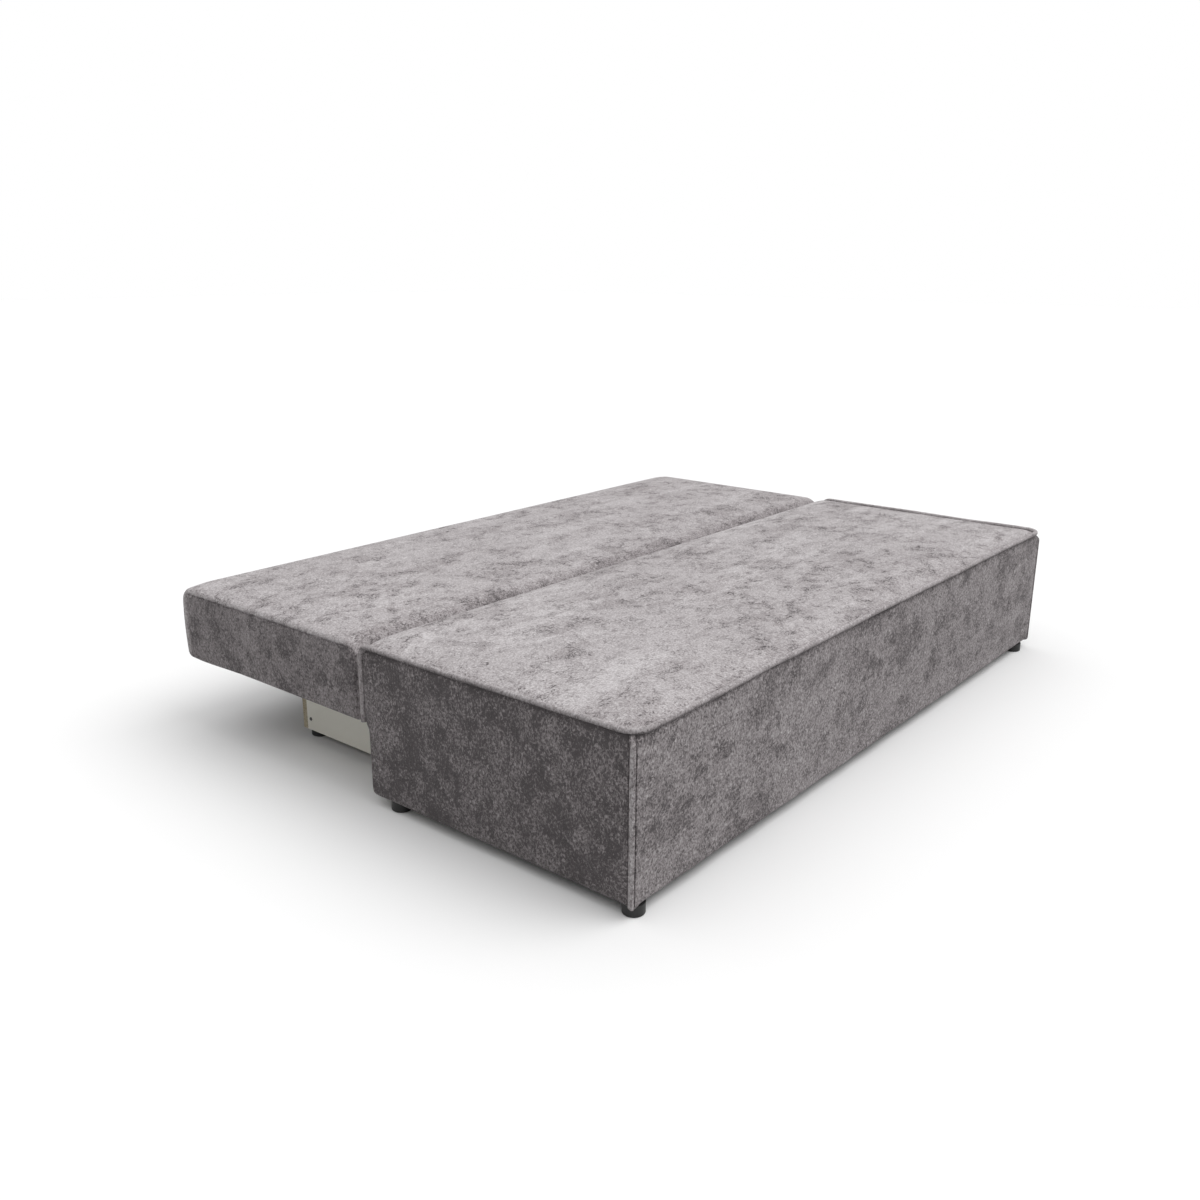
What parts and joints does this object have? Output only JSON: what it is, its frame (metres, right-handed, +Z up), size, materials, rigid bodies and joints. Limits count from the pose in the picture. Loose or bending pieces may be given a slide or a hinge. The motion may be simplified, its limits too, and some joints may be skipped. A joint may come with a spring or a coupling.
{
  "type": "sofa bed",
  "caption": "Armless upholstered pull-out sofa bed made up flat, with piped seat, plain back slab and low chipboard base on glide feet.",
  "frame": {"origin": "centre of the footprint on the floor", "axes": "+Z up, X along the bed's length, the seat's front faces -Y"},
  "size_m": [2, 1.42, 0.368],
  "materials": {
    "chenille": "short crushed pile with a soft sheen",
    "welt": "fabric-covered welt cord",
    "lining": "non-woven lining cloth",
    "wadding": "polyester wadding",
    "foam": "open-cell cut foam",
    "webbing": "woven elastic webbing",
    "felt": "needled felt",
    "laminate": "matt melamine laminate on chipboard",
    "chipboard": "raw chipboard",
    "hardboard": "smooth hardboard",
    "pine": "planed softwood",
    "foot_plastic": "moulded, finely textured",
    "nylon": "moulded nylon",
    "cap_plastic": "moulded cap",
    "zinc_steel": "zinc-plated",
    "black_steel": "black powder coat"
  },
  "bodies": {
    "base": {"base_side_panel_left": "laminate", "base_side_panel_right": "laminate", "base_rear_board": "chipboard", "base_front_board": "chipboard", "base_partition": "chipboard", "base_corner_blocks": "pine", "base_bottom_sheets": "hardboard", "base_battens": "pine", "base_feet": "foot_plastic", "base_screw_caps": "cap_plastic", "base_felt_strips": "felt", "base_hinge_plate_left": "zinc_steel", "base_hinge_plate_right": "zinc_steel", "base_pivot_pin_left": "zinc_steel", "base_pivot_pin_right": "zinc_steel", "roller_plate_left": "zinc_steel", "roller_plate_right": "zinc_steel", "roller_axle_left": "zinc_steel", "roller_axle_right": "zinc_steel"},
    "seat": {"seat_front_board": "chipboard", "seat_end_board_left": "chipboard", "seat_end_board_right": "chipboard", "seat_side_rail_left": "pine", "seat_side_rail_right": "pine", "seat_front_rail": "pine", "seat_rear_rail": "pine", "seat_cross_rails": "pine", "seat_runner_left": "pine", "seat_runner_right": "pine", "seat_stop_blocks": "pine", "seat_rear_glides": "nylon", "seat_webbing": "webbing", "seat_feet": "foot_plastic", "seat_foam": "foam", "seat_wall_padding": "wadding", "seat_wall_cover": "chenille", "seat_top_cover": "chenille", "seat_piping": "welt"},
    "back": {"back_lower_rail": "pine", "back_upper_rail": "pine", "back_end_stile_left": "pine", "back_end_stile_right": "pine", "back_hinge_stile_left": "pine", "back_hinge_stile_right": "pine", "back_slot_stile_left": "pine", "back_slot_stile_right": "pine", "back_middle_stiles": "pine", "back_webbing": "webbing", "back_foam": "foam", "back_edge_padding": "wadding", "back_cover": "chenille", "back_lining": "lining", "back_hinge_plate_left": "zinc_steel", "back_hinge_plate_right": "zinc_steel", "back_pivot_pin_left": "zinc_steel", "back_pivot_pin_right": "zinc_steel"},
    "arm_left": {"swing_arm_left": "black_steel"},
    "arm_right": {"swing_arm_right": "black_steel"},
    "roller_body_left": {"roller_left": "nylon"},
    "roller_body_right": {"roller_right": "nylon"}
  },
  "joints": [
    {"name": "seat_slide", "type": "slide", "parent": "base", "child": "seat", "axis": [0, 1, 0], "range_m": [0, 0.19]},
    {"name": "arm_left_swing", "type": "hinge", "parent": "base", "child": "arm_left", "pos_m": [-0.8405, 0.20246, 0.066], "axis": [1, 0, 0], "range_deg": [-63.5, 0]},
    {"name": "arm_right_swing", "type": "hinge", "parent": "base", "child": "arm_right", "pos_m": [0.8405, 0.20246, 0.066], "axis": [1, 0, 0], "range_deg": [-63.5, 0]},
    {"name": "back_tilt", "type": "hinge", "parent": "arm_left", "child": "back", "pos_m": [-0.8405, 0.075, 0.274], "axis": [1, 0, 0], "range_deg": [0, 147.5]},
    {"name": "roller_left_spin", "type": "hinge", "parent": "base", "child": "roller_body_left", "pos_m": [-0.811, -0.33, 0.156], "axis": [1, 0, 0], "range_deg": [-790, 0]},
    {"name": "roller_right_spin", "type": "hinge", "parent": "base", "child": "roller_body_right", "pos_m": [0.811, -0.33, 0.156], "axis": [1, 0, 0], "range_deg": [-790, 0]}
  ],
  "couplings": [
    {"joint": "arm_left_swing", "follows": "seat_slide", "rad_per_m": -5.7871},
    {"joint": "arm_right_swing", "follows": "seat_slide", "rad_per_m": -5.7871},
    {"joint": "back_tilt", "follows": "seat_slide", "rad_per_m": 13.503},
    {"joint": "roller_left_spin", "follows": "seat_slide", "rad_per_m": -71.429},
    {"joint": "roller_right_spin", "follows": "seat_slide", "rad_per_m": -71.429}
  ]
}
